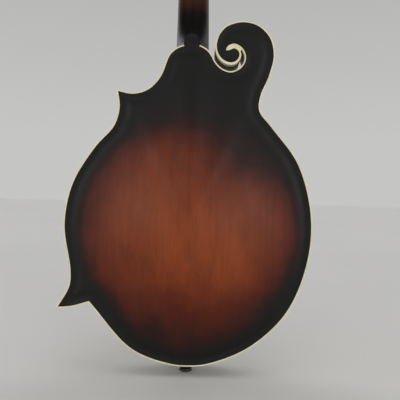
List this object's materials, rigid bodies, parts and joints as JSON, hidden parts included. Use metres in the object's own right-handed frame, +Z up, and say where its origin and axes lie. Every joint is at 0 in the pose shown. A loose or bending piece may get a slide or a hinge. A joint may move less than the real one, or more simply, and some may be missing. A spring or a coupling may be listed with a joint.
{
  "type": "mandolin",
  "caption": "Carved mandolin with a scroll body, bound sunburst plates, two points, f-shaped sound holes, paired strings and geared tuners.",
  "frame": {"origin": "where a wall hanger's yoke holds the neck: the middle of the neck's section under the nut", "axes": "+Z up the neck, +Y out of the top (the strings face +Y and the carved back faces -Y), +X to the bass side, where the scroll is"},
  "size_m": [0.2555, 0.1162, 0.6935],
  "materials": {
    "burst_maple": "satin lacquer over a brown sunburst",
    "burst_spruce": "satin lacquer over a brown sunburst",
    "rim_maple": "satin lacquer, dark brown",
    "neck_maple": "satin lacquer, dark brown",
    "binding": "cream, scraped flush",
    "bare_wood": "unfinished",
    "ebony": "oiled black",
    "bone": "polished",
    "nickel": "nickel plate",
    "steel": "plain steel",
    "string_steel": "plain wire",
    "bronze_wound": "bronze-wound wire",
    "pearloid": "cream pearl"
  },
  "bodies": {
    "instrument": {"back_plate": "burst_maple", "top_plate": "burst_spruce", "rim": "rim_maple", "back_binding": "binding", "top_binding": "binding", "neck_block": "bare_wood", "scroll_block": "bare_wood", "tail_block": "bare_wood", "upper_point_block": "bare_wood", "lower_point_block": "bare_wood", "top_lining": "bare_wood", "back_lining": "bare_wood", "bass_tone_bar": "bare_wood", "treble_tone_bar": "bare_wood", "neck": "neck_maple", "fingerboard": "ebony", "fingerboard_riser": "neck_maple", "nut": "bone", "truss_rod": "steel", "headstock_overlay": "ebony", "truss_rod_cover": "ebony", "bass_tuner_plate": "nickel", "treble_tuner_plate": "nickel", "bridge_base": "ebony", "bass_bridge_post": "steel", "treble_bridge_post": "steel", "tailpiece": "nickel", "end_pin": "ebony", "tailpiece_screw_1": "nickel", "tailpiece_screw_2": "nickel", "tailpiece_screw_3": "nickel", "g_string_1": "bronze_wound", "g_string_2": "bronze_wound", "d_string_1": "bronze_wound", "d_string_2": "bronze_wound", "a_string_1": "string_steel", "a_string_2": "string_steel", "e_string_1": "string_steel", "e_string_2": "string_steel"},
    "bass_button_1": {"bass_button_1": "pearloid"},
    "bass_post_1": {"bass_post_1": "nickel"},
    "bass_button_2": {"bass_button_2": "pearloid"},
    "bass_post_2": {"bass_post_2": "nickel"},
    "bass_button_3": {"bass_button_3": "pearloid"},
    "bass_post_3": {"bass_post_3": "nickel"},
    "bass_button_4": {"bass_button_4": "pearloid"},
    "bass_post_4": {"bass_post_4": "nickel"},
    "treble_button_1": {"treble_button_1": "pearloid"},
    "treble_post_1": {"treble_post_1": "nickel"},
    "treble_button_2": {"treble_button_2": "pearloid"},
    "treble_post_2": {"treble_post_2": "nickel"},
    "treble_button_3": {"treble_button_3": "pearloid"},
    "treble_post_3": {"treble_post_3": "nickel"},
    "treble_button_4": {"treble_button_4": "pearloid"},
    "treble_post_4": {"treble_post_4": "nickel"},
    "bridge_saddle": {"bridge_saddle": "ebony"},
    "bass_thumbwheel": {"bass_thumbwheel": "nickel"},
    "treble_thumbwheel": {"treble_thumbwheel": "nickel"},
    "tailpiece_cover": {"tailpiece_cover": "nickel"}
  },
  "joints": [
    {"name": "bass_button_1_turn", "type": "hinge", "parent": "instrument", "child": "bass_button_1", "pos_m": [0.019, -0.02143, 0.02774], "axis": [1, 0, 0], "continuous": true},
    {"name": "bass_post_1_turn", "type": "hinge", "parent": "instrument", "child": "bass_post_1", "pos_m": [0.019, -0.00698, 0.04066], "axis": [0, 0.9397, 0.342], "continuous": true},
    {"name": "bass_button_2_turn", "type": "hinge", "parent": "instrument", "child": "bass_button_2", "pos_m": [0.019, -0.0293, 0.04936], "axis": [1, 0, 0], "continuous": true},
    {"name": "bass_post_2_turn", "type": "hinge", "parent": "instrument", "child": "bass_post_2", "pos_m": [0.019, -0.01485, 0.06228], "axis": [0, 0.9397, 0.342], "continuous": true},
    {"name": "bass_button_3_turn", "type": "hinge", "parent": "instrument", "child": "bass_button_3", "pos_m": [0.019, -0.03717, 0.07097], "axis": [1, 0, 0], "continuous": true},
    {"name": "bass_post_3_turn", "type": "hinge", "parent": "instrument", "child": "bass_post_3", "pos_m": [0.019, -0.02271, 0.08389], "axis": [0, 0.9397, 0.342], "continuous": true},
    {"name": "bass_button_4_turn", "type": "hinge", "parent": "instrument", "child": "bass_button_4", "pos_m": [0.019, -0.04503, 0.09258], "axis": [1, 0, 0], "continuous": true},
    {"name": "bass_post_4_turn", "type": "hinge", "parent": "instrument", "child": "bass_post_4", "pos_m": [0.019, -0.03058, 0.1055], "axis": [0, 0.9397, 0.342], "continuous": true},
    {"name": "treble_button_1_turn", "type": "hinge", "parent": "instrument", "child": "treble_button_1", "pos_m": [-0.019, -0.02143, 0.02774], "axis": [1, 0, 0], "continuous": true},
    {"name": "treble_post_1_turn", "type": "hinge", "parent": "instrument", "child": "treble_post_1", "pos_m": [-0.019, -0.00698, 0.04066], "axis": [0, 0.9397, 0.342], "continuous": true},
    {"name": "treble_button_2_turn", "type": "hinge", "parent": "instrument", "child": "treble_button_2", "pos_m": [-0.019, -0.0293, 0.04936], "axis": [1, 0, 0], "continuous": true},
    {"name": "treble_post_2_turn", "type": "hinge", "parent": "instrument", "child": "treble_post_2", "pos_m": [-0.019, -0.01485, 0.06228], "axis": [0, 0.9397, 0.342], "continuous": true},
    {"name": "treble_button_3_turn", "type": "hinge", "parent": "instrument", "child": "treble_button_3", "pos_m": [-0.019, -0.03717, 0.07097], "axis": [1, 0, 0], "continuous": true},
    {"name": "treble_post_3_turn", "type": "hinge", "parent": "instrument", "child": "treble_post_3", "pos_m": [-0.019, -0.02271, 0.08389], "axis": [0, 0.9397, 0.342], "continuous": true},
    {"name": "treble_button_4_turn", "type": "hinge", "parent": "instrument", "child": "treble_button_4", "pos_m": [-0.019, -0.04503, 0.09258], "axis": [1, 0, 0], "continuous": true},
    {"name": "treble_post_4_turn", "type": "hinge", "parent": "instrument", "child": "treble_post_4", "pos_m": [-0.019, -0.03058, 0.1055], "axis": [0, 0.9397, 0.342], "continuous": true},
    {"name": "saddle_height", "type": "slide", "parent": "instrument", "child": "bridge_saddle", "axis": [0, 1, 0], "range_m": [-0.0012, 0]},
    {"name": "bass_thumbwheel_turn", "type": "hinge", "parent": "bridge_saddle", "child": "bass_thumbwheel", "pos_m": [0.032, 0.0417, -0.34879], "axis": [0, 1, 0], "range_deg": [-617.3, 0]},
    {"name": "treble_thumbwheel_turn", "type": "hinge", "parent": "bridge_saddle", "child": "treble_thumbwheel", "pos_m": [-0.032, 0.0417, -0.34879], "axis": [0, 1, 0], "range_deg": [-617.3, 0]},
    {"name": "cover_slide", "type": "slide", "parent": "instrument", "child": "tailpiece_cover", "axis": [0, -0.1065, -0.9943], "range_m": [0, 0.04]}
  ],
  "couplings": [
    {"joint": "bass_post_1_turn", "follows": "bass_button_1_turn", "ratio": 0.0625},
    {"joint": "bass_post_2_turn", "follows": "bass_button_2_turn", "ratio": 0.0625},
    {"joint": "bass_post_3_turn", "follows": "bass_button_3_turn", "ratio": 0.0625},
    {"joint": "bass_post_4_turn", "follows": "bass_button_4_turn", "ratio": 0.0625},
    {"joint": "treble_post_1_turn", "follows": "treble_button_1_turn", "ratio": -0.0625},
    {"joint": "treble_post_2_turn", "follows": "treble_button_2_turn", "ratio": -0.0625},
    {"joint": "treble_post_3_turn", "follows": "treble_button_3_turn", "ratio": -0.0625},
    {"joint": "treble_post_4_turn", "follows": "treble_button_4_turn", "ratio": -0.0625},
    {"joint": "bass_thumbwheel_turn", "follows": "saddle_height", "rad_per_m": 8976},
    {"joint": "treble_thumbwheel_turn", "follows": "saddle_height", "rad_per_m": 8976}
  ]
}
